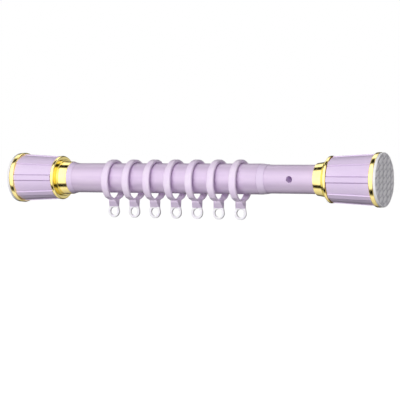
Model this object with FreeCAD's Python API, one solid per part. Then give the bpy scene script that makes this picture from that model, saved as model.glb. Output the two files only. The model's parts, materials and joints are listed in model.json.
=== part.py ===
# Spring tension rod with seven curtain rings.
# The rod lies along X and the rings hang down, so +Z is up and the front looks along -Y.
# The origin is the middle of the left wall pad's face. All sizes are in millimetres.
import FreeCAD
import Part
import math
import os

V = FreeCAD.Vector
X_AXIS = V(1, 0, 0)
Y_AXIS = V(0, 1, 0)
Z_AXIS = V(0, 0, 1)
ORIGIN = V(0, 0, 0)

# Rod as a whole
rod_length = 380.2          # pad face to pad face, as set
side_fit = 0.05             # radial gap of pieces fixed in one another
slide_fit = 0.10            # radial gap of pieces that slide or turn in one another
end_gap = 0.10              # axial gap between pieces that bear on each other
match_tol = 0.01            # for finding an edge by its place

# Tubes
outer_od = 28.0
outer_wall = 0.5
inner_od = 26.0
inner_wall = 0.8
outer_r = outer_od / 2
outer_bore_r = outer_r - outer_wall
inner_r = inner_od / 2
inner_bore_r = inner_r - inner_wall

# End fitting, measured inward from the pad face
pad_r = 23.9
pad_plate = 2.2
pad_bump_height = 0.4
pad_bump_width = 7.0        # measured level
pad_bump_side = 4.3         # upright sides of each slanted bump
pad_bump_slope = 30.0
pad_bump_round = 1.0
pad_bump_border = 0.4       # plain border round the pattern
pad_level_pitch = 9.6
pad_upright_pitch = 5.6
pad_least_bump = 0.3        # share of a bump below which the border leaves it out
pad_edge_round = 0.5
pad_foot = 2.4              # ring that locates the pad in the cap
pad_foot_hole_r = 6.0
rim_r = 24.15
rim_width = 4.3
rim_round = 1.1
cap_wide_r = 21.9
cap_narrow_r = 19.85
cap_length = 40.5           # cone between rim and flange
cap_wall = 2.0
cap_floor = 3.0
cap_spigot_r = 21.2         # seat of the rim
cap_recess_r = 20.1         # seat of the pad's foot
cap_rib_count = 8
cap_rib_rise = 0.75
cap_rib_top = 4.5
cap_rib_base = 5.9
cap_rib_bury = 1.0
cap_groove_width = 0.6      # groove along each side of a rib
cap_groove_depth = 0.5
socket_wall = 1.5
socket_gap = 1.6            # end of the tube's socket to the collar's spigot
flange_r = 21.1
flange_width = 3.2
flange_round = 1.3
spigot_length = 4.0
step_r = 17.5
step_width = 2.8
step_round = 0.7
neck_wide_r = 16.0          # where the neck meets the step
neck_rise = 1.6             # neck over tube at the neck's end
neck_length = 11.6
neck_round = 0.4
pad_back = pad_bump_height + pad_plate
rim_start = pad_back + end_gap
cone_start = rim_start + rim_width
cone_end = cone_start + cap_length
flange_start = cone_end + end_gap
flange_end = flange_start + flange_width
spigot_start = flange_start - spigot_length
neck_end = flange_end + neck_length
floor_face = pad_back + pad_foot + end_gap
floor_back = floor_face + cap_floor
tube_seat = floor_back + end_gap

# Plug and screw in each tube end
plug_length = 22.0
plug_wall = 2.2
plug_boss_r = 5.0
screw_r = 1.9
screw_length = 17.0
screw_head_r = 3.6
screw_head = 2.0
screw_slot = 0.9
screw_slot_depth = 1.0

# Tapered sleeve at the left collar and tapered bush at the tube's mouth
sleeve_tail_wall = 0.75
sleeve_tail = 9.0
sleeve_lip_rise = 1.25
sleeve_tip_rise = 0.15
sleeve_lip = 4.8
mouth_x = 262.7
mouth_lip = 7.0
mouth_lip_rise = 0.10
mouth_tip_wall = 0.25
mouth_skirt = 20.0
lip_round = 0.3

# Twist lock, measured from the lock sleeve's left end
lock_x = 71.1
lock_length = 24.0
lock_gap = 0.20             # lock sleeve to tube wall, loose
lock_floor = 2.0
lock_bore_r = 8.8
lock_taper_length = 12.0
lock_taper = 10.0           # half angle in degrees
lock_slit = 2.0
lock_slit_length = 19.0
lock_slit_count = 4
cone_gap = 0.30             # cone nut to lock sleeve, loose
cone_nose = 8.0             # length of cone inside the sleeve
cone_head = 4.5             # length of cone outside the sleeve
key_gap = 0.15
key_r = 12.4
key_length = 5.5
key_inset = 0.8
thread_r = 4.0
clip_r = 6.5
clip_width = 1.0
clip_groove_r = 3.2
clip_gap = 0.3
spindle_tip = 2.0
thrust_r = 9.0
thrust_width = 3.0
thrust_gap = 0.3
shank_side = 8.0
stud_r = 3.0
stud_length = 14.0

# Spring travel and the pieces in the inner tube
spring_travel = 22.0
shank_spare = 1.5           # shank still bare with the spring fully pressed
plug_flange = 1.5
plug_body = 16.0
pusher_r = 11.0
pusher_width = 4.0
pusher_gap = 0.3
pusher_spigot_r = 8.5
pusher_spigot = 4.5
nut_across = 10.0
nut_height = 4.5
spring_r = 10.0             # to the middle of the wire
spring_wire_r = 1.0
spring_length = 70.0
spring_turns = 10
stop_body = 12.0
stop_spigot = 5.5
pin_r = 1.5
pin_depth = 5.8
bar_hole_r = 3.0
bar_hole_x = 295.0
bar_plug_length = 16.0      # cross-drilled plug behind the hole

# Curtain rings
ring_count = 7
ring_first_x = 107.4
ring_pitch = 22.3
ring_width = 7.4            # at the sides, where the ring is widest
ring_end_width = 5.0        # where its curved sides end, a wall's width past top and bottom
ring_inner_r = 16.2
ring_wall = 3.3
ring_seat_gap = 0.3         # under the top of the ring, where it hangs on the tube
ring_drop = 1.2             # straight part between the two half rounds
ring_outer_round = 1.5
ring_inner_round = 1.4
leg_angle = 20.0            # slope of the flat under each leg of the ring, from the level
leg_apex = 3.0              # where the two flats would meet, below the opening
block_inset = 1.2           # top of the block below the opening
block_height = 6.4
block_top_width = 6.8
block_top_depth = 9.2
block_low_width = 9.6
block_low_depth = 3.0
block_round = 0.4

# Swivel eyes
eye_r = 5.9
eye_hole_r = 3.7
eye_width = 2.6
eye_drop = 4.6              # bottom of the block to the eye's centre
eye_shoulder = 10.0         # width of the flat top under the block
eye_round = 0.6
eye_hole_round = 0.4
eye_gap = 0.2
stem_r = 0.9
stem_fit = 0.08
head_r = 1.4
head_height = 1.4
head_room = 0.3
head_seat = 3.8             # bottom of the block to the shoulder under the stem's head


def turned(profile):
    """Solid turned about the rod's axis from (x, radius) points."""
    points = [V(x, 0, r) for x, r in profile]
    points.append(points[0])
    face = Part.Face(Part.makePolygon(points))
    return face.revolve(ORIGIN, X_AXIS, 360)


def tube(start, length, outside_r, inside_r):
    outside = Part.makeCylinder(outside_r, length, V(start, 0, 0), X_AXIS)
    return outside.cut(Part.makeCylinder(inside_r, length, V(start, 0, 0), X_AXIS))


def bar(start, length, radius):
    return Part.makeCylinder(radius, length, V(start, 0, 0), X_AXIS)


def round_circles(shape, radius, places):
    """Rounds the full-circle edges about the rod's axis at (x, radius) places."""
    chosen = []
    for edge in shape.Edges:
        if not isinstance(edge.Curve, Part.Circle):
            continue
        centre = edge.Curve.Center
        for x, r in places:
            if abs(centre.x - x) < match_tol and abs(edge.Curve.Radius - r) < match_tol:
                if math.hypot(centre.y, centre.z) < match_tol:
                    chosen.append(edge)
    return shape.makeFillet(radius, chosen)


def hexagon(across, x, y, z):
    """Hexagon face square to X, with a corner up."""
    corner_r = across / math.sqrt(3)
    points = []
    for k in range(7):
        angle = math.radians(60 * k + 90)
        points.append(V(x, y + corner_r * math.cos(angle), z + corner_r * math.sin(angle)))
    return Part.Face(Part.makePolygon(points))


def at_right_end(shape):
    return shape.mirror(V(rod_length / 2, 0, 0), X_AXIS)


def turned_to_right_end(shape):
    turned = shape.copy()
    turned.rotate(V(rod_length / 2, 0, 0), Z_AXIS, 180)
    return turned


# End fittings

def slanted_bump():
    half = pad_bump_width / 2
    lift = half * math.tan(math.radians(pad_bump_slope))
    side = pad_bump_side / 2
    corners = [V(0, -half, lift - side), V(0, half, -lift - side), V(0, half, side - lift)]
    corners += [V(0, -half, lift + side), corners[0]]
    bump = Part.Face(Part.makePolygon(corners)).extrude(V(pad_bump_height, 0, 0))
    edges = [edge for edge in bump.Edges if edge.BoundBox.XLength > pad_bump_height / 2]
    return bump.makeFillet(pad_bump_round, edges)


def make_pad():
    plate = bar(pad_bump_height, pad_plate, pad_r)
    plate = round_circles(plate, pad_edge_round, [(pad_bump_height, pad_r)])
    foot = tube(pad_back, pad_foot, cap_recess_r - slide_fit, pad_foot_hole_r)
    field = bar(0, pad_bump_height, pad_r - pad_edge_round - pad_bump_border)
    bumps = []
    columns = int(pad_r / pad_level_pitch) + 1
    rows = int(pad_r / pad_upright_pitch) + 1
    for column in range(-columns, columns + 1):
        for row in range(-rows, rows + 1):
            whole = slanted_bump()
            whole.translate(V(0, column * pad_level_pitch, row * pad_upright_pitch))
            bump = whole.common(field)
            if bump.Volume > pad_least_bump * whole.Volume:
                bumps += bump.Solids
    return plate.multiFuse([foot] + bumps).removeSplitter()


def make_rim():
    rim = tube(rim_start, rim_width, rim_r, cap_spigot_r + side_fit)
    ends = [(rim_start, rim_r), (rim_start + rim_width, rim_r)]
    return round_circles(rim, rim_round, ends)


def cone_strips(low, high, base, top):
    """Strips along the cone, from low to high above its surface, base and top wide."""
    sections = []
    for x, r in ((cone_start, cap_wide_r), (cone_end, cap_narrow_r)):
        corners = [V(x, -base / 2, r + low), V(x, -top / 2, r + high),
                   V(x, top / 2, r + high), V(x, base / 2, r + low)]
        sections.append(Part.makePolygon(corners + [corners[0]]))
    strips = []
    for k in range(cap_rib_count):
        strip = Part.makeLoft(sections, True, True)
        strip.rotate(ORIGIN, X_AXIS, k * 360 / cap_rib_count)
        strips.append(strip)
    return strips


def make_cap(tube_r):
    socket_r = tube_r + slide_fit
    socket_end = spigot_start - socket_gap
    wall_slope = (cap_wide_r - cap_narrow_r) / cap_length
    hollow_r = cap_wide_r - cap_wall - wall_slope * (floor_back - cone_start)
    profile = [
        (floor_face, 0), (floor_face, cap_recess_r), (rim_start, cap_recess_r),
        (rim_start, cap_spigot_r), (cone_start, cap_spigot_r), (cone_start, cap_wide_r),
        (cone_end, cap_narrow_r), (cone_end, cap_narrow_r - cap_wall), (floor_back, hollow_r),
        (floor_back, socket_r + socket_wall), (socket_end, socket_r + socket_wall),
        (socket_end, socket_r), (floor_back, socket_r), (floor_back, 0)]
    rib_slope = (cap_rib_base - cap_rib_top) / (cap_rib_bury + cap_rib_rise)
    groove_span = cap_rib_top + rib_slope * cap_rib_rise + 2 * cap_groove_width
    shell = turned(profile)
    for groove in cone_strips(-cap_groove_depth, cap_rib_rise, groove_span, groove_span):
        shell = shell.cut(groove)
    shell = shell.multiFuse(cone_strips(-cap_rib_bury, cap_rib_rise, cap_rib_base, cap_rib_top))
    return shell.cut(bar(floor_face, cap_floor, screw_r + slide_fit)).removeSplitter()


def make_collar(tube_r, neck_bore_r):
    neck_r = tube_r + neck_rise
    bore_r = tube_r + slide_fit
    step_end = flange_end + step_width
    spigot_r = cap_narrow_r - cap_wall - slide_fit
    profile = [
        (spigot_start, bore_r), (spigot_start, spigot_r),
        (flange_start, spigot_r), (flange_start, flange_r), (flange_end, flange_r),
        (flange_end, step_r), (step_end, step_r), (step_end, neck_wide_r), (neck_end, neck_r),
        (neck_end, neck_bore_r), (neck_end - sleeve_tail, neck_bore_r), (neck_end - sleeve_tail, bore_r)]
    if neck_bore_r == bore_r:
        profile = profile[:-2]
    collar = turned(profile)
    collar = round_circles(collar, flange_round, [(flange_start, flange_r), (flange_end, flange_r)])
    collar = round_circles(collar, step_round, [(step_end, step_r)])
    return round_circles(collar, neck_round, [(neck_end, neck_r)])


def make_plug(bore_r):
    plug_r = bore_r - side_fit
    profile = [
        (tube_seat, 0), (tube_seat, plug_r), (tube_seat + plug_length, plug_r),
        (tube_seat + plug_length, plug_r - plug_wall), (tube_seat + plug_wall, plug_r - plug_wall),
        (tube_seat + plug_wall, plug_boss_r), (tube_seat + plug_length, plug_boss_r),
        (tube_seat + plug_length, 0)]
    return turned(profile).cut(bar(tube_seat, plug_length, screw_r + side_fit))


def make_screw():
    head = bar(floor_face - screw_head, screw_head, screw_head_r)
    shank = bar(floor_face, screw_length, screw_r)
    slot_size = V(screw_slot_depth, screw_slot, 2 * screw_head_r)
    corner = V(floor_face - screw_head, -slot_size.y / 2, -screw_head_r)
    slot = Part.makeBox(slot_size.x, slot_size.y, slot_size.z, corner)
    return head.fuse(shank).cut(slot).removeSplitter()


# Tubes and their tapered ends

def make_outer_tube():
    return tube(tube_seat, mouth_x - tube_seat, outer_r, outer_bore_r)


def make_sleeve():
    bore_r = outer_r + slide_fit
    lip_start = neck_end + end_gap
    tail_start = neck_end - sleeve_tail + end_gap
    profile = [
        (tail_start, bore_r), (tail_start, bore_r + sleeve_tail_wall),
        (lip_start, bore_r + sleeve_tail_wall), (lip_start, outer_r + sleeve_lip_rise),
        (lip_start + sleeve_lip, outer_r + sleeve_tip_rise), (lip_start + sleeve_lip, bore_r)]
    return turned(profile)


def make_mouth_bush():
    bore_r = inner_r + slide_fit
    lip_start = mouth_x + end_gap
    skirt_r = outer_bore_r - side_fit
    lip_r = outer_r + mouth_lip_rise
    profile = [
        (mouth_x - mouth_skirt, bore_r), (mouth_x - mouth_skirt, skirt_r), (lip_start, skirt_r),
        (lip_start, lip_r), (lip_start + mouth_lip, bore_r + mouth_tip_wall),
        (lip_start + mouth_lip, bore_r)]
    return round_circles(turned(profile), lip_round, [(lip_start, lip_r)])


def bar_hole():
    return Part.makeCylinder(bar_hole_r, inner_od, V(bar_hole_x, -inner_r, 0), Y_AXIS)


def make_bar_plug():
    """Plug that gives the turning bar's hole its length inside the thin tube."""
    plug = bar(bar_hole_x - bar_plug_length / 2, bar_plug_length, inner_bore_r - side_fit)
    return plug.cut(bar_hole())


def make_inner_tube():
    end_x = rod_length - tube_seat
    body = tube(inner_start, end_x - inner_start, inner_r, inner_bore_r)
    body = body.cut(bar_hole())
    for x in (guide_pin_x, stop_pin_x):
        body = body.cut(pin_hole(x))
    return body


# Twist lock

def lock_bore_at(x):
    """Radius of the lock sleeve's tapered bore."""
    return lock_bore_r + (lock_x + lock_taper_length - x) * math.tan(math.radians(lock_taper))


def make_lock_sleeve():
    lock_end = lock_x + lock_length
    sleeve_r = outer_bore_r - lock_gap
    taper_end = lock_x + lock_taper_length
    profile = [
        (lock_x, lock_bore_at(lock_x)), (lock_x, sleeve_r), (lock_end, sleeve_r),
        (lock_end, thread_r + slide_fit), (lock_end - lock_floor, thread_r + slide_fit),
        (lock_end - lock_floor, lock_bore_r), (taper_end, lock_bore_r)]
    sleeve = turned(profile)
    for k in range(lock_slit_count):
        corner = V(lock_x, -lock_slit / 2, lock_bore_r / 2)
        slit = Part.makeBox(lock_slit_length, lock_slit, outer_r, corner)
        slit.rotate(ORIGIN, X_AXIS, k * 360 / lock_slit_count)
        sleeve = sleeve.cut(slit)
    return sleeve


def make_cone_nut():
    nose_x = lock_x + cone_nose
    head_r = lock_bore_at(lock_x) - cone_gap
    profile = [
        (lock_x - cone_head, thread_r + slide_fit), (lock_x - cone_head, head_r), (lock_x, head_r),
        (nose_x, lock_bore_at(nose_x) - cone_gap), (nose_x, thread_r + slide_fit)]
    nut = turned(profile)
    for k in range(lock_slit_count):
        key_width = lock_slit - 2 * key_gap
        corner = V(lock_x + key_inset, -key_width / 2, thread_r + cone_gap)
        key = Part.makeBox(key_length, key_width, key_r - corner.z, corner)
        key.rotate(ORIGIN, X_AXIS, k * 360 / lock_slit_count)
        nut = nut.fuse(key)
    return nut.removeSplitter()


def make_spindle():
    tip_x = clip_x - spindle_tip
    profile = [
        (tip_x, 0), (tip_x, thread_r), (clip_x - side_fit, thread_r), (clip_x - side_fit, clip_groove_r),
        (clip_x + clip_width + side_fit, clip_groove_r), (clip_x + clip_width + side_fit, thread_r),
        (thrust_x, thread_r), (thrust_x, thrust_r), (shank_x, thrust_r), (shank_x, 0)]
    round_part = turned(profile)
    corner = V(shank_x, -shank_side / 2, -shank_side / 2)
    shank = Part.makeBox(stud_x - shank_x, shank_side, shank_side, corner)
    stud = bar(stud_x, stud_length, stud_r)
    return round_part.multiFuse([shank, stud]).removeSplitter()


def make_clip():
    ring = tube(clip_x, clip_width, clip_r, clip_groove_r + side_fit)
    mouth = Part.makeBox(clip_width, 2 * clip_groove_r, clip_r, V(clip_x, -clip_groove_r, 0))
    return ring.cut(mouth)


def make_pusher():
    start = stud_x + end_gap
    profile = [
        (start, stud_r + side_fit), (start, pusher_r), (pusher_face, pusher_r),
        (pusher_face, pusher_spigot_r), (pusher_face + pusher_spigot, pusher_spigot_r),
        (pusher_face + pusher_spigot, stud_r + side_fit)]
    return turned(profile)


def make_pusher_nut():
    start = pusher_face + pusher_spigot + end_gap
    body = hexagon(nut_across, start, 0, 0).extrude(V(nut_height, 0, 0))
    return body.cut(bar(start, nut_height, stud_r + side_fit))


# Spring and the plugs it works between

def pin_hole(x):
    return Part.makeCylinder(pin_r + side_fit, pin_depth + inner_r, V(x, 0, inner_r - pin_depth), Z_AXIS)


def make_pin(x):
    top = math.sqrt(inner_r ** 2 - pin_r ** 2) - side_fit
    bottom = inner_r - pin_depth + side_fit
    return Part.makeCylinder(pin_r, top - bottom, V(x, 0, bottom), Z_AXIS)


def make_guide_plug():
    body_r = inner_bore_r - side_fit
    body = bar(inner_start, plug_body, body_r)
    flange = bar(inner_start - plug_flange - end_gap, plug_flange + end_gap, body_r)
    lip = bar(inner_start - plug_flange - end_gap, plug_flange, inner_r - side_fit)
    side = shank_side + 2 * slide_fit
    corner = V(inner_start - plug_flange - end_gap, -side / 2, -side / 2)
    hole = Part.makeBox(plug_body + plug_flange + end_gap, side, side, corner)
    plug = body.multiFuse([flange, lip]).cut(hole)
    return plug.cut(pin_hole(guide_pin_x)).removeSplitter()


def make_spring_stop():
    body = bar(stop_face, stop_body, inner_bore_r - side_fit)
    spigot = bar(stop_face - stop_spigot, stop_spigot, pusher_spigot_r)
    return body.fuse(spigot).cut(pin_hole(stop_pin_x)).removeSplitter()


def make_spring():
    height = spring_length - 2 * spring_wire_r - 2 * end_gap
    helix = Part.makeHelix(height / spring_turns, height, spring_r)
    section = Part.Wire(Part.makeCircle(spring_wire_r, V(spring_r, 0, 0), Y_AXIS))
    coil = Part.Wire(helix.Edges).makePipeShell([section], True, True)
    coil.rotate(ORIGIN, Y_AXIS, 90)
    coil.translate(V(pusher_face + spring_wire_r + end_gap, 0, 0))
    return coil


# Curtain rings and eyes

def ring_prism(radius):
    """Prism along X: two half rounds with a short straight part between them."""
    x = -ring_width / 2
    top_z = opening_top
    low_z = top_z - ring_drop
    top_arc = Part.Arc(V(x, -radius, top_z), V(x, 0, top_z + radius), V(x, radius, top_z))
    low_arc = Part.Arc(V(x, radius, low_z), V(x, 0, low_z - radius), V(x, -radius, low_z))
    sides = [Part.makeLine(V(x, radius, top_z), V(x, radius, low_z)),
             Part.makeLine(V(x, -radius, low_z), V(x, -radius, top_z))]
    wire = Part.Wire([top_arc.toShape(), sides[0], low_arc.toShape(), sides[1]])
    return Part.Face(wire).extrude(V(ring_width, 0, 0))


def ring_sides():
    """Prism along Y whose curved sides narrow the ring towards its top and bottom."""
    outside_r = ring_inner_r + ring_wall
    top_z = opening_top + outside_r + ring_wall
    low_z = opening_top - ring_drop - outside_r - ring_wall
    middle_z = (top_z + low_z) / 2
    half, end_half = ring_width / 2, ring_end_width / 2
    corners = [V(end_half, -outside_r, low_z), V(end_half, -outside_r, top_z),
               V(-end_half, -outside_r, top_z), V(-end_half, -outside_r, low_z)]
    right = Part.Arc(corners[0], V(half, -outside_r, middle_z), corners[1])
    left = Part.Arc(corners[2], V(-half, -outside_r, middle_z), corners[3])
    ends = [Part.makeLine(corners[1], corners[2]), Part.makeLine(corners[3], corners[0])]
    wire = Part.Wire([right.toShape(), ends[0], left.toShape(), ends[1]])
    return Part.Face(wire).extrude(V(0, 2 * outside_r, 0))


def ring_flats():
    """Prism along X under the ring that flattens its two legs down to the block."""
    x = -ring_width / 2
    reach = ring_inner_r + ring_wall
    apex_z = opening_top - ring_drop - ring_inner_r - leg_apex
    side_z = apex_z + reach * math.tan(math.radians(leg_angle))
    low_z = apex_z - reach
    corners = [V(x, -reach, side_z), V(x, 0, apex_z), V(x, reach, side_z),
               V(x, reach, low_z), V(x, -reach, low_z)]
    return Part.Face(Part.makePolygon(corners + [corners[0]])).extrude(V(ring_width, 0, 0))


def round_outline(shape, radius, size):
    """Rounds the ring's side edges on the outline whose half width is size."""
    chosen = []
    for edge in shape.Edges:
        box = edge.BoundBox
        if box.XLength < ring_end_width / 2 and abs(max(box.YMax, -box.YMin) - size) < match_tol:
            chosen.append(edge)
    return shape.makeFillet(radius, chosen)


def make_block():
    """Tapered block under the ring, down to the flat top of the eye."""
    sections = []
    for z, width, depth in ((block_top, block_top_width, block_top_depth),
                            (block_bottom, block_low_width, block_low_depth)):
        corners = [V(-width / 2, -depth / 2, z), V(width / 2, -depth / 2, z),
                   V(width / 2, depth / 2, z), V(-width / 2, depth / 2, z)]
        sections.append(Part.makePolygon(corners + [corners[0]]))
    block = Part.makeLoft(sections, True, True)
    uprights = [edge for edge in block.Edges if edge.BoundBox.ZLength > block_height / 2]
    return block.makeFillet(block_round, uprights)


def make_ring():
    """Ring about x = 0, hanging on the tube."""
    outside_r = ring_inner_r + ring_wall
    band = ring_prism(outside_r).cut(ring_prism(ring_inner_r)).common(ring_sides())
    band = round_outline(band, ring_outer_round, outside_r)
    band = round_outline(band, ring_inner_round, ring_inner_r)
    ring = band.cut(ring_flats()).fuse(make_block())
    stem_hole = Part.makeCylinder(stem_r + stem_fit, head_seat, V(0, 0, block_bottom), Z_AXIS)
    head_hole = Part.makeCylinder(head_r + head_room, ring_inner_r, V(0, 0, stem_seat), Z_AXIS)
    return ring.cut(stem_hole.fuse(head_hole)).removeSplitter()


def eye_outline(centre_z):
    """Round eye that runs up into a flat shoulder, as a face at the eye's front."""
    half = eye_shoulder / 2
    rise = eye_drop - eye_gap
    tangent = math.atan2(rise, half) - math.acos(eye_r / math.hypot(rise, half))
    front = -eye_width / 2
    side_x = eye_r * math.cos(tangent)
    side_z = centre_z + eye_r * math.sin(tangent)
    left, right = V(-side_x, front, side_z), V(side_x, front, side_z)
    top_left, top_right = V(-half, front, centre_z + rise), V(half, front, centre_z + rise)
    arc = Part.Arc(right, V(0, front, centre_z - eye_r), left)
    lines = [Part.makeLine(left, top_left), Part.makeLine(top_left, top_right),
             Part.makeLine(top_right, right)]
    return Part.Face(Part.Wire([arc.toShape()] + lines))


def make_eye():
    """Eye under the ring at x = 0."""
    centre_z = block_bottom - eye_drop
    half = eye_width / 2
    plate = eye_outline(centre_z).extrude(V(0, eye_width, 0))
    outline = [edge for edge in plate.Edges if edge.BoundBox.YLength < match_tol]
    below_top = [edge for edge in outline if edge.BoundBox.ZLength > match_tol]
    plate = plate.makeFillet(eye_round, below_top)
    stem_low = centre_z + eye_hole_r + eye_hole_round
    stem = Part.makeCylinder(stem_r, stem_seat + head_height - stem_low, V(0, 0, stem_low), Z_AXIS)
    head = Part.makeCylinder(head_r, head_height, V(0, 0, stem_seat + side_fit), Z_AXIS)
    eye = plate.multiFuse([stem, head])
    hole = Part.makeCylinder(eye_hole_r, eye_width, V(0, -half, centre_z), Y_AXIS)
    eye = eye.cut(hole).removeSplitter()
    rims = []
    for edge in eye.Edges:
        if isinstance(edge.Curve, Part.Circle) and abs(edge.Curve.Radius - eye_hole_r) < match_tol:
            if abs(abs(edge.Curve.Center.y) - half) < match_tol:
                rims.append(edge)
    return eye.makeFillet(eye_hole_round, rims)


# Places along the rod that follow from the sizes above
lock_end_x = lock_x + lock_length
clip_x = lock_x - cone_head - clip_gap - clip_width
thrust_x = lock_end_x + thrust_gap
shank_x = thrust_x + thrust_width
inner_start = shank_x + spring_travel + shank_spare + plug_flange + end_gap
guide_end = inner_start + plug_body
stud_x = guide_end + pusher_gap - end_gap
pusher_face = stud_x + end_gap + pusher_width
stop_face = pusher_face + spring_length
guide_pin_x = inner_start + plug_body / 2
stop_pin_x = stop_face + stop_body / 2
sleeve_bore_r = outer_r + slide_fit + sleeve_tail_wall + side_fit

# Heights on a ring that follow from the sizes above
opening_top = outer_r + ring_seat_gap - ring_inner_r
block_top = opening_top - ring_drop - ring_inner_r - block_inset
block_bottom = block_top - block_height
stem_seat = block_bottom + head_seat


def make_all():
    nodes = {}
    nodes["left_pad"] = make_pad()
    nodes["left_rim"] = make_rim()
    nodes["left_cap"] = make_cap(outer_r)
    nodes["left_collar"] = make_collar(outer_r, sleeve_bore_r)
    nodes["left_plug"] = make_plug(outer_bore_r)
    nodes["left_screw"] = make_screw()
    nodes["left_sleeve"] = make_sleeve()
    nodes["outer_tube"] = make_outer_tube()
    nodes["mouth_bush"] = make_mouth_bush()
    nodes["lock_sleeve"] = make_lock_sleeve()
    nodes["cone_nut"] = make_cone_nut()
    nodes["lock_spindle"] = make_spindle()
    nodes["spindle_clip"] = make_clip()
    nodes["spring_pusher"] = make_pusher()
    nodes["pusher_nut"] = make_pusher_nut()
    nodes["tension_spring"] = make_spring()
    nodes["guide_plug"] = make_guide_plug()
    nodes["guide_pin"] = make_pin(guide_pin_x)
    nodes["spring_stop"] = make_spring_stop()
    nodes["stop_pin"] = make_pin(stop_pin_x)
    nodes["inner_tube"] = make_inner_tube()
    nodes["bar_plug"] = make_bar_plug()
    nodes["right_pad"] = turned_to_right_end(make_pad())
    nodes["right_rim"] = at_right_end(make_rim())
    nodes["right_cap"] = at_right_end(make_cap(inner_r))
    nodes["right_collar"] = at_right_end(make_collar(inner_r, inner_r + slide_fit))
    nodes["right_plug"] = at_right_end(make_plug(inner_bore_r))
    nodes["right_screw"] = at_right_end(make_screw())
    for k in range(ring_count):
        place = V(ring_first_x + k * ring_pitch, 0, 0)
        nodes["ring_%d" % (k + 1)] = make_ring().translated(place)
        nodes["eye_%d" % (k + 1)] = make_eye().translated(place)
    return nodes


os.makedirs("parts", exist_ok=True)
for name, shape in make_all().items():
    shape.exportStep("parts/%s.step" % name)
    box = shape.BoundBox
    print("%s solids %d valid %s volume %.1f x %.2f to %.2f" % (
        name, len(shape.Solids), shape.isValid(), shape.Volume, box.XMin, box.XMax))
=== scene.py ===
# %% [markdown]
# # A lilac spring tension rod with curtain rings
# The rod is two thin steel tubes, one inside the other, with a gold-trimmed
# cap and a patterned pad at each end and a row of rings on the wider tube.
# The solids already have their true shapes, so this lesson is mostly about
# finishes and light. One piece is made again here as a mesh, the spring
# inside the tube.

# %% Load the imported rod
import json
import math
import bmesh
import bpy
from mathutils import Matrix, Vector


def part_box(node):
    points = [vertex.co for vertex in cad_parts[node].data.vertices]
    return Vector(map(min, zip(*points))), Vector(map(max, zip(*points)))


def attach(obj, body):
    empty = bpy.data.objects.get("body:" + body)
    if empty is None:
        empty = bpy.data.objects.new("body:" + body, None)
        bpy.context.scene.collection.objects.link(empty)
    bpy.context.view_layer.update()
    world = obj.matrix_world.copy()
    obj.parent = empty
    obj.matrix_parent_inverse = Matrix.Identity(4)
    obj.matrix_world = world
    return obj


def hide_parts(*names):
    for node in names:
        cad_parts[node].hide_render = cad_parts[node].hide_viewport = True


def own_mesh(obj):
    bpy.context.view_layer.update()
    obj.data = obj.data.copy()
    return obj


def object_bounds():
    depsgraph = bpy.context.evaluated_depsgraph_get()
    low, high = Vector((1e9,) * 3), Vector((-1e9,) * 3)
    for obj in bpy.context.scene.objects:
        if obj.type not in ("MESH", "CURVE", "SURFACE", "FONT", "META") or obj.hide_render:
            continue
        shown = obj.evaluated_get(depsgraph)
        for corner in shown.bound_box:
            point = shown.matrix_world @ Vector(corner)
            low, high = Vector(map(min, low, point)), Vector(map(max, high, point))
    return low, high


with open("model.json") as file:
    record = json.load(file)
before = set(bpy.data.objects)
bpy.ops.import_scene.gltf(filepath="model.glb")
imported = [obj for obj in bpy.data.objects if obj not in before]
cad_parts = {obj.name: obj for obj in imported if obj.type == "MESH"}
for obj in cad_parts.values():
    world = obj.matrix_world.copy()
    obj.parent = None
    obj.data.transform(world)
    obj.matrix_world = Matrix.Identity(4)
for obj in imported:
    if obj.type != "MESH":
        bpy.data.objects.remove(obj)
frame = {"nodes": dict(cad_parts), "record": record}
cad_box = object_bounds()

nodes = frame["nodes"]
scene = bpy.context.scene
MM = 0.001
ROD_MIDDLE = (cad_box[0] + cad_box[1]) / 2
HALF_LENGTH = (cad_box[1].x - cad_box[0].x) / 2
print("box in mm:", [round(v / MM, 1) for v in cad_box[1] - cad_box[0]])

# %% [markdown]
# ## The camera
# The rod was seen from the front and a little from its right, almost level,
# through a long lens. A camera that looks at a point on the rod's axis is set
# by four numbers: how far round, how high, how far away, and the lens. The
# rod sits above the middle of the picture, so the lens is shifted instead of
# tilted: a tilt would make upright things lean.

# %% Aim the camera
VIEW_ROUND = 27.5
VIEW_UP = 0.8
VIEW_DISTANCE = 1.339
VIEW_POINT = Vector((199.5 * MM, 0, 0))
SENSOR = 36.0
PICTURE = 400
FOCAL_PIXELS = 1450
POINT_ROW = 178.6


def direction(round_deg, up_deg):
    """Unit vector from the rod towards a viewer or a lamp."""
    turn, lift = math.radians(round_deg), math.radians(up_deg)
    return Vector((math.sin(turn) * math.cos(lift), -math.cos(turn) * math.cos(lift), math.sin(lift)))


camera = bpy.data.objects.new("camera", bpy.data.cameras.new("camera"))
scene.collection.objects.link(camera)
towards = direction(VIEW_ROUND, VIEW_UP)
camera.location = VIEW_POINT + towards * VIEW_DISTANCE
camera.rotation_euler = (-towards).to_track_quat("-Z", "Y").to_euler()
camera.data.sensor_width = SENSOR
camera.data.lens = SENSOR * FOCAL_PIXELS / PICTURE
camera.data.shift_y = (POINT_ROW - PICTURE / 2) / PICTURE
scene.camera = camera
print("lens in mm:", round(camera.data.lens, 1), "shift:", round(camera.data.shift_y, 3))

# %% [markdown]
# ## The sky
# Polished trim looks like metal only when it has something to reflect: here a
# bright front, a thin dark gap overhead and another one low in front, as
# between the panels of a studio tent. A picture of a studio would do that
# too, but a sky painted by the angle round the rod's own axis needs no file,
# and its gaps run along the rod. It darkens to the far left, so that a cove in
# the trim shows as a darker stripe. What the gold mirrors and what fills the
# matt lilac are two skies, so that each can be set alone.

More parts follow.
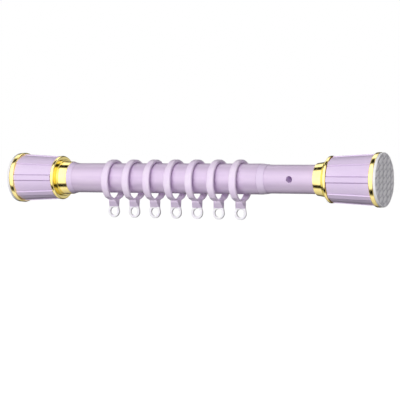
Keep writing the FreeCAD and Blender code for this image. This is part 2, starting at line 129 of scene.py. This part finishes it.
# %% Brightness by the angle up from the front
MIRRORED = [(-180, 0.36), (-166, 0.26), (-152, 0.03), (-142, 0.03), (-128, 0.30), (-72, 0.60),
            (-62, 0.008), (-44, 0.008), (-35, 0.75), (0, 1.0), (64, 0.95), (75, 0.008), (97, 0.008),
            (106, 1.0), (128, 0.70), (140, 0.03), (152, 0.03), (166, 0.26), (180, 0.36)]
FILL = [(-180, 0.10), (-90, 0.03), (-35, 0.18), (0, 0.62), (35, 0.28), (90, 0.03), (180, 0.10)]
MIRRORED_STRENGTH, FILL_STRENGTH = 1.9, 1.1
LEFT_DARK, LEFT_CLEAR = -0.93, -0.80
LEFT_SHARE = 0.30
print("stops mirrored:", len(MIRRORED), "stops of the fill:", len(FILL))

# %% Paint one band of sky
scene.view_settings.view_transform = "Standard"
studio = bpy.data.worlds.new("studio")
scene.world = studio
studio.use_nodes = True
sky = studio.node_tree
sky.nodes.clear()


def sky_node(kind, operation=None, **values):
    """A node of the sky, with values on its named sockets."""
    node = sky.nodes.new("ShaderNode" + kind)
    if operation:
        node.operation = operation
    for socket, value in values.items():
        node.inputs[socket.replace("_", " ")].default_value = value
    return node


def sky_band(stops, strength):
    """Background whose brightness follows the angle round the rod's axis."""
    place, split = sky_node("TexCoord"), sky_node("SeparateXYZ")
    front, angle = sky_node("Math", "MULTIPLY"), sky_node("Math", "ARCTAN2")
    front.inputs[1].default_value = -1
    share = sky_node("MapRange", From_Min=-math.pi, From_Max=math.pi)
    leftward = sky_node("MapRange", From_Min=LEFT_DARK, From_Max=LEFT_CLEAR,
                        To_Min=LEFT_SHARE * strength, To_Max=strength)
    ramp, shine = sky_node("ValToRGB"), sky_node("Background")
    while len(ramp.color_ramp.elements) < len(stops):
        ramp.color_ramp.elements.new(0.5)
    for stop, (degrees, value) in zip(ramp.color_ramp.elements, stops):
        stop.position = (degrees + 180) / 360
        stop.color = (value, value, value, 1)
    sky.links.new(place.outputs["Generated"], split.inputs[0])
    sky.links.new(split.outputs["Y"], front.inputs[0])
    sky.links.new(split.outputs["Z"], angle.inputs[0])
    sky.links.new(front.outputs[0], angle.inputs[1])
    sky.links.new(angle.outputs[0], share.inputs["Value"])
    sky.links.new(share.outputs[0], ramp.inputs[0])
    sky.links.new(ramp.outputs[0], shine.inputs["Color"])
    sky.links.new(split.outputs["X"], leftward.inputs["Value"])
    sky.links.new(leftward.outputs[0], shine.inputs["Strength"])
    return shine


# %% Give each kind of ray its sky
white = sky_node("Background", Color=(1, 1, 1, 1))
mirrored = sky_band(MIRRORED, MIRRORED_STRENGTH)
fill = sky_band(FILL, FILL_STRENGTH)
ray = sky_node("LightPath")
by_kind, by_view = sky_node("MixShader"), sky_node("MixShader")
sky_out = sky_node("OutputWorld")
sky.links.new(ray.outputs["Is Glossy Ray"], by_kind.inputs[0])
sky.links.new(fill.outputs[0], by_kind.inputs[1])
sky.links.new(mirrored.outputs[0], by_kind.inputs[2])
sky.links.new(ray.outputs["Is Camera Ray"], by_view.inputs[0])
sky.links.new(by_kind.outputs[0], by_view.inputs[1])
sky.links.new(white.outputs[0], by_view.inputs[2])
sky.links.new(by_view.outputs[0], sky_out.inputs["Surface"])
print("sky nodes:", len(sky.nodes))

# %% [markdown]
# ## The panels
# A sky alone is flat on matt surfaces. A wide panel in front and a little
# above gives the tubes their form, a small one at the right end lights the
# pad, and one behind keeps the back from going black. An area lamp has soft
# edges because of its size. The gold doesn't see the panels, or each would
# show in it as a white square.

# %% Hang the soft panels


def panel(name, round_deg, up_deg, distance, size, watts):
    """Area lamp that faces the rod's middle."""
    lamp = bpy.data.lights.new(name, "AREA")
    lamp.shape = "RECTANGLE"
    lamp.size, lamp.size_y = size
    lamp.energy = watts
    holder = bpy.data.objects.new(name, lamp)
    scene.collection.objects.link(holder)
    away = direction(round_deg, up_deg)
    holder.location = Vector((ROD_MIDDLE.x, 0, 0)) + away * distance
    holder.rotation_euler = (-away).to_track_quat("-Z", "Y").to_euler()
    holder.visible_glossy = False
    print("panel", name, [round(v, 2) for v in holder.location])


PANEL_AWAY = 1.5
panel("key_panel", 2, 14, PANEL_AWAY, (1.1, 0.35), 15.4)
panel("side_panel", 90, 0, PANEL_AWAY, (0.25, 0.25), 4.8)
panel("back_panel", 188, 4, PANEL_AWAY, (1.1, 0.4), 16)

# %% [markdown]
# ## Finishes
# Each finish is a node tree on the Principled shader. Patterns are read from
# Object coordinates, which are metres here because every piece sits at the
# origin, so a noise scale of 1000 has features about a millimetre across.
# A value that is the same all over is set on the shader itself, and only what
# varies over the surface gets nodes.

# %% Helpers: a shader, a noise and a colour


def start_finish(name):
    """New material with only a Principled shader in it."""
    finish = bpy.data.materials.new(name)
    finish.use_nodes = True
    tree = finish.node_tree
    tree.nodes.clear()
    shader = tree.nodes.new("ShaderNodeBsdfPrincipled")
    end = tree.nodes.new("ShaderNodeOutputMaterial")
    tree.links.new(shader.outputs[0], end.inputs["Surface"])
    return finish, tree, shader


def speckle(tree, scale, detail=3.0, stretch=(1, 1, 1)):
    """Noise between 0 and 1 on Object coordinates, squeezed along each axis by stretch."""
    place = tree.nodes.new("ShaderNodeTexCoord")
    mapping = tree.nodes.new("ShaderNodeMapping")
    mapping.inputs["Scale"].default_value = stretch
    noise = tree.nodes.new("ShaderNodeTexNoise")
    noise.inputs["Scale"].default_value = scale
    noise.inputs["Detail"].default_value = detail
    tree.links.new(place.outputs["Object"], mapping.inputs["Vector"])
    tree.links.new(mapping.outputs["Vector"], noise.inputs["Vector"])
    return noise.outputs["Fac"]


def linear(red, green, blue):
    """Screen colour of 0 to 255 as the linear colour that shaders use."""
    def one(v):
        v = v / 255
        return v / 12.92 if v <= 0.04045 else ((v + 0.055) / 1.055) ** 2.4
    return one(red), one(green), one(blue)


# %% Helpers: shades, numbers and relief led by a noise


def shades(tree, value, low, high, start=0.35, stop=0.65):
    """Colour between two shades."""
    ramp = tree.nodes.new("ShaderNodeValToRGB")
    first, last = ramp.color_ramp.elements
    first.position, first.color = start, (*low, 1)
    last.position, last.color = stop, (*high, 1)
    tree.links.new(value, ramp.inputs[0])
    return ramp.outputs[0]


def between(tree, value, low, high, start=0.3, stop=0.7):
    """A number from low to high while the value goes from start to stop."""
    spread = tree.nodes.new("ShaderNodeMapRange")
    for socket, number in zip(("From Min", "From Max", "To Min", "To Max"), (start, stop, low, high)):
        spread.inputs[socket].default_value = number
    tree.links.new(value, spread.inputs["Value"])
    return spread.outputs[0]


def multiplied(tree, colour, other, share):
    """Two colours multiplied; share is a number or a value from nodes."""
    mix = tree.nodes.new("ShaderNodeMix")
    mix.data_type = "RGBA"
    mix.blend_type = "MULTIPLY"
    tree.links.new(colour, mix.inputs["A"])
    if isinstance(other, tuple):
        mix.inputs["B"].default_value = (*other, 1)
    else:
        tree.links.new(other, mix.inputs["B"])
    if isinstance(share, float):
        mix.inputs["Factor"].default_value = share
    else:
        tree.links.new(share, mix.inputs["Factor"])
    return mix.outputs["Result"]


def roughen(tree, shader, value, strength, depth):
    """Fine relief from a value."""
    bump = tree.nodes.new("ShaderNodeBump")
    bump.inputs["Strength"].default_value = strength
    bump.inputs["Distance"].default_value = depth
    tree.links.new(value, bump.inputs["Height"])
    tree.links.new(bump.outputs[0], shader.inputs["Normal"])


def finished(tree, shader, colour, roughness):
    """Joins colour and roughness to the shader and says what was made."""
    tree.links.new(colour, shader.inputs["Base Color"])
    tree.links.new(roughness, shader.inputs["Roughness"])
    print("finish nodes:", len(tree.nodes))


# %% [markdown]
# ### Lilac enamel
# The tubes are thin steel under a satin enamel. Enamel is even, so what shows
# on it is faint: fine lines drawn along the tube, soft clouds and a gloss that
# changes a little. A noise squeezed along the rod makes the lines. A little
# metal in the shader and a thin coat give it the deeper sheen of paint on steel.

# %% Enamel for the tubes
PALE_LOW, PALE_HIGH = linear(248, 246, 250), linear(255, 255, 255)
FINE_RELIEF = 0.2 * MM
POLISH_RELIEF = 0.1 * MM
enamel, tree, shader = start_finish("lilac_enamel")
drawn = speckle(tree, 260, 4, (0.04, 1, 1))
streaks = shades(tree, drawn, linear(221, 200, 230), linear(228, 208, 235))
clouds = shades(tree, speckle(tree, 35), PALE_LOW, PALE_HIGH)
shader.inputs["Metallic"].default_value = 0.12
shader.inputs["Coat Weight"].default_value = 0.15
shader.inputs["Coat Roughness"].default_value = 0.25
roughen(tree, shader, speckle(tree, 1500, 2), 0.10, FINE_RELIEF)
gloss = between(tree, speckle(tree, 420, 2), 0.36, 0.48)
finished(tree, shader, multiplied(tree, streaks, clouds, 0.6), gloss)

# %% [markdown]
# ### Lilac mouldings
# Caps, sleeve and bush are moulded plastic in the same lilac, with a fine
# grain and faint flow marks. The caps have a narrow groove along each side of
# their flat ribs. The grooves are in the solid, and the finish paints shade
# into them, darker than their depth alone would make them. Painting lines would
# miss the edges, so the finish measures how far below the cone's surface a
# point lies, from its distance to the axis, and paints shade on what lies deep.

# %% Helpers: places on the rod


def maths(tree, kind, first, second=None):
    """One sum of a value with a number or with another value."""
    node = tree.nodes.new("ShaderNodeMath")
    node.operation = kind
    tree.links.new(first, node.inputs[0])
    if isinstance(second, float):
        node.inputs[1].default_value = second
    elif second is not None:
        tree.links.new(second, node.inputs[1])
    return node.outputs[0]


def step(tree, value, start, stop):
    """0 up to start, 1 from stop on, and a straight run between."""
    return between(tree, value, 0.0, 1.0, start, stop)


def places(tree):
    """Distance inward from the nearer end, distance from the axis, and height, in metres."""
    place = tree.nodes.new("ShaderNodeTexCoord")
    split = tree.nodes.new("ShaderNodeSeparateXYZ")
    across = tree.nodes.new("ShaderNodeCombineXYZ")
    radius = tree.nodes.new("ShaderNodeVectorMath")
    radius.operation = "LENGTH"
    tree.links.new(place.outputs["Object"], split.inputs[0])
    tree.links.new(split.outputs["Y"], across.inputs["Y"])
    tree.links.new(split.outputs["Z"], across.inputs["Z"])
    tree.links.new(across.outputs[0], radius.inputs[0])
    from_middle = maths(tree, "ABSOLUTE", maths(tree, "SUBTRACT", split.outputs["X"], ROD_MIDDLE.x))
    inward = maths(tree, "ADD", maths(tree, "MULTIPLY", from_middle, -1.0), HALF_LENGTH)
    return inward, radius.outputs["Value"], split.outputs["Z"]


# %% Mouldings, with and without grooves
CONE_WIDE_R, CONE_NARROW_R = 21.9 * MM, 19.85 * MM
CONE_LENGTH = 40.5 * MM
CONE_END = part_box("left_cap")[1].x - cad_box[0].x
CONE_SLOPE = (CONE_WIDE_R - CONE_NARROW_R) / CONE_LENGTH
GROOVE_DEPTH = 0.5 * MM
GROOVE_PAINTED_SHADE = (0.42, 0.36, 0.46)


def lilac_moulding(name, low, high, grooved=False, sheen=0.0):
    """Moulded lilac between two shades."""
    finish, tree, shader = start_finish(name)
    grain = speckle(tree, 2400, 2)
    flow = shades(tree, speckle(tree, 60, 4, (0.35, 1, 1)), low, high)
    colour = multiplied(tree, flow, shades(tree, grain, PALE_LOW, PALE_HIGH), 0.5)
    if grooved:
        inward, radius, up = places(tree)
        fall = maths(tree, "MULTIPLY", inward, -CONE_SLOPE)
        cone_r = maths(tree, "ADD", fall, CONE_NARROW_R + CONE_SLOPE * CONE_END)
        depth = maths(tree, "SUBTRACT", cone_r, radius)
        deep = step(tree, depth, 0.1 * GROOVE_DEPTH, 0.7 * GROOVE_DEPTH)
        # painted shade: what lies deep in the cap's grooves is darkened
        colour = multiplied(tree, colour, GROOVE_PAINTED_SHADE, deep)
    shader.inputs["Sheen Weight"].default_value = sheen
    shader.inputs["Sheen Roughness"].default_value = 0.4
    roughen(tree, shader, grain, 0.12, FINE_RELIEF)
    finished(tree, shader, colour, between(tree, grain, 0.40, 0.52))
    return finish


LILAC = linear(233, 213, 244), linear(239, 220, 249)
moulding = lilac_moulding("lilac_plastic", *LILAC)
cap_finish = lilac_moulding("cap_plastic", *LILAC, grooved=True)
bush_finish = lilac_moulding("bush_plastic", linear(233, 214, 243), linear(239, 221, 248), sheen=0.45)

# %% [markdown]
# ### Gold plate
# Rims and collars are plated and polished, so most of their look is what they
# mirror. Faint turning lines run round them, which is a noise squeezed across
# the rod. In the corner of the collar's step the gold mirrors itself, and two
# bounces off gold make a deeper yellow; this reflection is painted in as a tint.
# Where the flange sits on the cap, the seam's shade is painted as a thin dark
# line. Both are painted by the distance from the rod's end.

# %% Gold for rims and collars
STEP_START, STEP_END, STEP_R = 50.8 * MM, 53.6 * MM, 17.6 * MM
SEAM_START, SEAM_END = 47.6 * MM, 48.3 * MM
EDGE_BLUR = 0.4 * MM
CORNER_PAINTED_REFLECTION = (0.70, 0.68, 0.34)
SEAM_PAINTED_SHADE = (0.45, 0.36, 0.25)
gold, tree, shader = start_finish("gold_plate")
polish = speckle(tree, 900, 3, (1, 0.08, 0.08))
plate = shades(tree, speckle(tree, 120, 4), linear(246, 223, 140), linear(252, 233, 160))
inward, radius, up = places(tree)
corner = maths(tree, "MULTIPLY", step(tree, inward, STEP_START, STEP_START + EDGE_BLUR),
               step(tree, inward, STEP_END, STEP_END - EDGE_BLUR))
corner = maths(tree, "MULTIPLY", corner, step(tree, radius, STEP_R + EDGE_BLUR, STEP_R))
seam = maths(tree, "MULTIPLY", step(tree, inward, SEAM_START - EDGE_BLUR, SEAM_START),
             step(tree, inward, SEAM_END, SEAM_END - EDGE_BLUR))
# painted reflection: a deeper yellow in the step's corner, where gold mirrors gold
plate = multiplied(tree, plate, CORNER_PAINTED_REFLECTION, corner)
# painted shade: a thin dark line in the seam where the flange sits on the cap
plate = multiplied(tree, plate, SEAM_PAINTED_SHADE, seam)
shader.inputs["Metallic"].default_value = 1.0
roughen(tree, shader, polish, 0.03, POLISH_RELIEF)
finished(tree, shader, plate, between(tree, polish, 0.10, 0.20))

# %% [markdown]
# ### Pale silicone
# The wall pads are soft, matt and a little dusty, with a field of low slanted
# bumps. The bumps are in the solid, but almost edge on their lit sides would
# hide the shaded floor between them. So the finish paints shade on all that lies
# below the pad's face, sides and floor alike, paints the flat face a little
# darker as shade for a face turned from the light, and leaves the round side pale.

# %% Silicone for the pads
FACE_DEPTH = 0.1 * MM
PAD_FACE_R, PAD_SIDE_R = 23.0 * MM, 23.4 * MM
FACE_PAINTED_SHADE = (0.84, 0.83, 0.85)
FLOOR_PAINTED_SHADE = (0.70, 0.70, 0.72)
silicone, tree, shader = start_finish("pad_silicone")
inward, radius, up = places(tree)
dust = speckle(tree, 700, 5)
face = step(tree, radius, PAD_SIDE_R, PAD_FACE_R)
low = maths(tree, "MULTIPLY", step(tree, inward, 0.0, FACE_DEPTH), face)
colour = shades(tree, dust, linear(247, 246, 248), linear(252, 251, 253))
# painted shade: the flat face a little darker, as a face turned from the light
colour = multiplied(tree, colour, FACE_PAINTED_SHADE, face)
# painted shade: the sides and floor of the bumps below the face
colour = multiplied(tree, colour, FLOOR_PAINTED_SHADE, low)
roughen(tree, shader, dust, 0.08, FINE_RELIEF)
finished(tree, shader, colour, between(tree, dust, 0.55, 0.75))

# %% [markdown]
# ### Rings and eyes
# The rings are moulded in a slightly paler lilac. One finish serves ring and
# block, because they are one moulding, and it paints shade on the block under
# each ring, darker towards the bottom of the block. A soft sheen on the ring's legs
# lifts their undersides, which get little light. The eyes are milky white,
# and light goes a little way into them, which subsurface scattering gives.

# %% Ring moulding
BLOCK_TOP, BLOCK_FULL = -21.0 * MM, -23.0 * MM
BLOCK_PAINTED_SHADE = (0.74, 0.73, 0.76)
LEG_TOP, LEG_FULL = -13.0 * MM, -17.0 * MM
LEG_SHEEN = 0.7
ring_finish, tree, shader = start_finish("ring_plastic")
grain = speckle(tree, 2000, 2)
flow = shades(tree, speckle(tree, 140), linear(245, 226, 253), linear(250, 235, 255))
colour = multiplied(tree, flow, shades(tree, grain, PALE_LOW, PALE_HIGH), 0.5)
inward, radius, up = places(tree)
# painted shade: the block under the ring is darkened, as if shaded by the ring
colour = multiplied(tree, colour, BLOCK_PAINTED_SHADE, step(tree, up, BLOCK_TOP, BLOCK_FULL))
leg_sheen = between(tree, up, 0.0, LEG_SHEEN, LEG_TOP, LEG_FULL)
tree.links.new(leg_sheen, shader.inputs["Sheen Weight"])
shader.inputs["Sheen Tint"].default_value = (*linear(240, 222, 250), 1)
roughen(tree, shader, grain, 0.10, FINE_RELIEF)
finished(tree, shader, colour, between(tree, grain, 0.34, 0.46))

# %% Milky eyes
eye_finish, tree, shader = start_finish("eye_plastic")
milk = speckle(tree, 300)
shader.inputs["Subsurface Weight"].default_value = 0.25
shader.inputs["Subsurface Radius"].default_value = (1.5 * MM, 1.4 * MM, 1.6 * MM)
roughen(tree, shader, speckle(tree, 2200, 2), 0.08, FINE_RELIEF)
finished(tree, shader, shades(tree, milk, linear(243, 239, 248), linear(252, 250, 254)),
         between(tree, milk, 0.28, 0.40))

# %% [markdown]
# ### Inside the rod
# Nylon plugs, zinc-plated screws and pins and an oiled spring sit inside the
# tubes. They show only when the rod is taken apart, but they get their real
# finishes too: waxy nylon, zinc with turning lines, and darker spring wire.

# %% Nylon, zinc and spring wire
nylon, tree, shader = start_finish("inner_nylon")
wax = speckle(tree, 220, 4)
roughen(tree, shader, speckle(tree, 1800, 2), 0.12, FINE_RELIEF)
finished(tree, shader, shades(tree, wax, linear(226, 222, 208), linear(240, 237, 226)),
         between(tree, wax, 0.45, 0.60))

zinc, tree, shader = start_finish("zinc_steel")
lines = speckle(tree, 700, 3, (1, 0.1, 0.1))
shader.inputs["Metallic"].default_value = 1.0
roughen(tree, shader, lines, 0.05, POLISH_RELIEF)
finished(tree, shader, shades(tree, lines, linear(176, 178, 184), linear(206, 208, 212)),
         between(tree, lines, 0.25, 0.40))

wire, tree, shader = start_finish("spring_steel")
oil = speckle(tree, 160, 4)
shader.inputs["Metallic"].default_value = 1.0
roughen(tree, shader, speckle(tree, 1300), 0.05, POLISH_RELIEF)
finished(tree, shader, shades(tree, oil, linear(120, 120, 126), linear(158, 158, 162)),
         between(tree, oil, 0.22, 0.42))

# %% [markdown]
# ### Give out the finishes
# The record names a finish for each solid, so one loop gives them all out.
# The caps and the bush are lilac mouldings with a finish of their own.

# %% Give every solid its finish
FINISHES = {"lilac_enamel": enamel, "lilac_plastic": moulding, "gold_plate": gold,
            "pad_silicone": silicone, "ring_plastic": ring_finish, "eye_plastic": eye_finish,
            "inner_nylon": nylon, "zinc_steel": zinc, "spring_steel": wire}
OWN_FINISH = {"left_cap": cap_finish, "right_cap": cap_finish, "mouth_bush": bush_finish}
for part in frame["record"]["subparts"]:
    finish = OWN_FINISH.get(part["node"], FINISHES[part["material_slot"]])
    for slot in nodes[part["node"]].material_slots:
        slot.material = finish

# %% [markdown]
# ## The spring
# A compression spring inside the inner tube pushes the two halves apart and
# holds the rod between its walls. The solid spring is hidden, and here it is
# wound again as a mesh. A curve with a round bevel would look the
# same, but spinning a circle of wire about the rod's axis, with a small move
# along it at each step, gives the helix in one operator.

# %% Helper for new pieces


def new_piece(name, shape, finish):
    """Mesh object at the origin, with outward faces and one finish."""
    bmesh.ops.recalc_face_normals(shape, faces=shape.faces)
    data = bpy.data.meshes.new(name)
    shape.to_mesh(data)
    shape.free()
    data.materials.append(finish)
    piece = bpy.data.objects.new(name, data)
    scene.collection.objects.link(piece)
    print(name, "faces:", len(data.polygons))
    return piece


# %% Wind the spring
WIRE_R = 1.0 * MM
WIRE_SIDES = 14
SPRING_TURNS = 10
TURN_STEPS = 40
spring_low, spring_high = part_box("tension_spring")
coil_r = spring_high.z - WIRE_R
coil_length = spring_high.x - spring_low.x - 2 * WIRE_R
steps = SPRING_TURNS * TURN_STEPS
shape = bmesh.new()
bmesh.ops.create_circle(shape, radius=WIRE_R, segments=WIRE_SIDES)
bmesh.ops.rotate(shape, verts=shape.verts, matrix=Matrix.Rotation(math.pi / 2, 3, "X"))
bmesh.ops.translate(shape, verts=shape.verts, vec=(spring_low.x + WIRE_R, 0, -coil_r))
bmesh.ops.spin(shape, geom=shape.edges[:], axis=(1, 0, 0), dvec=(coil_length / steps, 0, 0),
               angle=2 * math.pi * SPRING_TURNS, steps=steps)
bmesh.ops.holes_fill(shape, edges=[edge for edge in shape.edges if edge.is_boundary])
for face in shape.faces:
    face.smooth = len(face.verts) == 4
spring = new_piece("spring_coil", shape, wire)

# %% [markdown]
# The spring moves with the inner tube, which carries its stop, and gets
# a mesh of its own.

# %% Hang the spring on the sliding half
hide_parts("tension_spring")
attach(spring, "sliding_half")
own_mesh(spring)

# %% [markdown]
# ## The floor
# A real rod hangs between two walls, so nothing touches the floor. The floor
# only gives the studio a bottom: it is pale, wide and well below the rings,
# and it glows a little so that it runs into the white behind it.

# %% Lay the floor
FLOOR_DEPTH = 0.16
FLOOR_HALF = 6.0
FLOOR_GLOW = 0.85
pale, tree, shader = start_finish("pale_floor")
shader.inputs["Emission Color"].default_value = (1, 1, 1, 1)
shader.inputs["Emission Strength"].default_value = FLOOR_GLOW
worn = speckle(tree, 8)
finished(tree, shader, shades(tree, worn, (0.86, 0.86, 0.86), (0.90, 0.90, 0.90)),
         between(tree, worn, 0.75, 0.85))
shape = bmesh.new()
bmesh.ops.create_grid(shape, x_segments=1, y_segments=1, size=FLOOR_HALF)
bmesh.ops.translate(shape, verts=shape.verts, vec=(ROD_MIDDLE.x, 0, -FLOOR_DEPTH))
floor = new_piece("floor", shape, pale)
floor.visible_diffuse = False
floor.visible_glossy = False
print("floor below the rod, in mm:", FLOOR_DEPTH / MM)
